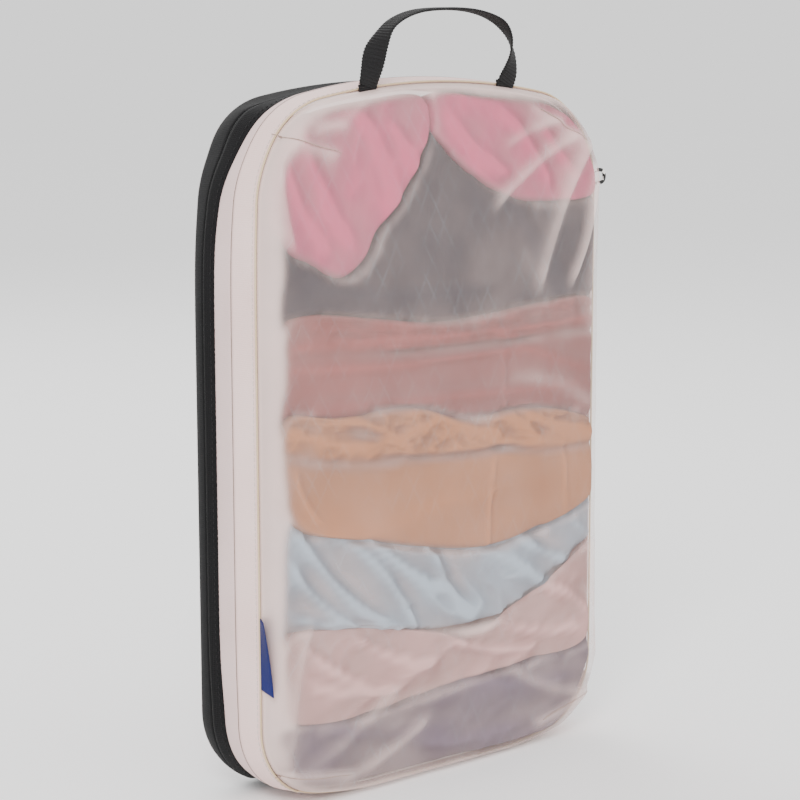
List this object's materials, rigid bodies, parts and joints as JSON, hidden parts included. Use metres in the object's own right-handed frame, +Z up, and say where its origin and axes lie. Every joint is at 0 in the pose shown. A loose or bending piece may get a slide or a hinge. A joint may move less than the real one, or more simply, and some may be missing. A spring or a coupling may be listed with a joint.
{
  "type": "packing cube",
  "caption": "Soft compression packing cube with a see-through zip lid, a second zip that lets it expand, a webbing carry handle and cord zip pulls, packed with folded clothes.",
  "frame": {"origin": "centre of the flat stretch of the bottom side, on the floor, halfway between the front seam and the back seam", "axes": "+Z up towards the handle, -Y out of the see-through front, +X towards the hinge side"},
  "size_m": [0.2677, 0.0792, 0.4114],
  "materials": {
    "panel": "translucent coated ripstop nylon, satin",
    "ivory_tape": "woven zip tape, matte",
    "ivory_coil": "nylon coil",
    "black_tape": "woven zip tape, matte",
    "black_coil": "nylon coil",
    "piping": "folded piping, matte",
    "binding": "woven seam binding",
    "webbing": "ribbed polypropylene webbing",
    "tag": "woven label, satin",
    "metal": "crimped stop",
    "black_metal": "painted die cast zinc, satin",
    "pull_cord": "speckled braided cord",
    "mauve_knit": "folded knit",
    "pale_knit": "folded knit",
    "blue_knit": "folded knit",
    "peach_knit": "folded knit",
    "rose_knit": "folded knit",
    "grey_knit": "folded knit",
    "pink_knit": "folded knit"
  },
  "bodies": {
    "back_shell": {"back_panel": "panel", "back_seam_binding": "binding", "compression_tape_back": "black_tape", "compression_coil_back": "black_coil", "expansion_gusset": "panel", "garment_mauve": "mauve_knit", "garment_pale": "pale_knit", "garment_blue": "blue_knit", "garment_peach": "peach_knit", "garment_rose": "rose_knit", "garment_grey": "grey_knit", "garment_pink": "pink_knit"},
    "middle_frame": {"compression_tape_front": "black_tape", "compression_coil_front": "black_coil", "main_tape_back": "ivory_tape", "main_coil_back": "ivory_coil", "hinge_spine": "ivory_tape", "middle_seam_binding": "binding", "main_top_stop": "metal", "main_bottom_stop": "metal"},
    "lid": {"main_tape_front": "ivory_tape", "main_coil_front": "ivory_coil", "front_panel": "panel", "front_piping": "piping", "front_seam_binding": "binding", "woven_tag": "tag", "handle_foot_left": "webbing", "handle_foot_right": "webbing"},
    "handle": {"handle_strap": "webbing"},
    "main_slider": {"main_slider": "black_metal"},
    "main_pull": {"main_pull_ring": "black_metal", "main_pull_knot": "pull_cord", "main_pull_cord": "pull_cord"},
    "compression_slider": {"compression_slider": "black_metal"},
    "compression_pull": {"compression_pull_ring": "black_metal", "compression_pull_knot": "pull_cord", "compression_pull_cord": "pull_cord"}
  },
  "joints": [
    {"name": "expand", "type": "slide", "parent": "back_shell", "child": "middle_frame", "axis": [0, -1, 0], "range_m": [0, 0.038], "deforming": ["expansion_gusset"]},
    {"name": "lid_open", "type": "hinge", "parent": "middle_frame", "child": "lid", "pos_m": [0.1192, -0.02535, 0.18], "axis": [0, 0, 1], "range_deg": [0, 165]},
    {"name": "handle_tilt", "type": "hinge", "parent": "lid", "child": "handle", "pos_m": [0, -0.02695, 0.371], "axis": [1, 0, 0], "range_deg": [-70, 70], "stiffness_Nm_per_rad": 0.02},
    {"name": "main_slider_travel", "type": "hinge", "parent": "middle_frame", "child": "main_slider", "pos_m": [0.067, -0.00795, 0.312], "axis": [0, -1, 0], "range_deg": [0, 64]},
    {"name": "main_pull_swing", "type": "hinge", "parent": "main_slider", "child": "main_pull", "pos_m": [0.12246, -0.00795, 0.31514], "axis": [0, 1, 0], "range_deg": [-62, 62]},
    {"name": "compression_slider_travel", "type": "slide", "parent": "back_shell", "child": "compression_slider", "axis": [0, 0, -1], "range_m": [0, 0.2]},
    {"name": "compression_pull_swing", "type": "hinge", "parent": "compression_slider", "child": "compression_pull", "pos_m": [0.12255, 0.01535, 0.299], "axis": [0, -1, 0], "range_deg": [0, 125]}
  ]
}
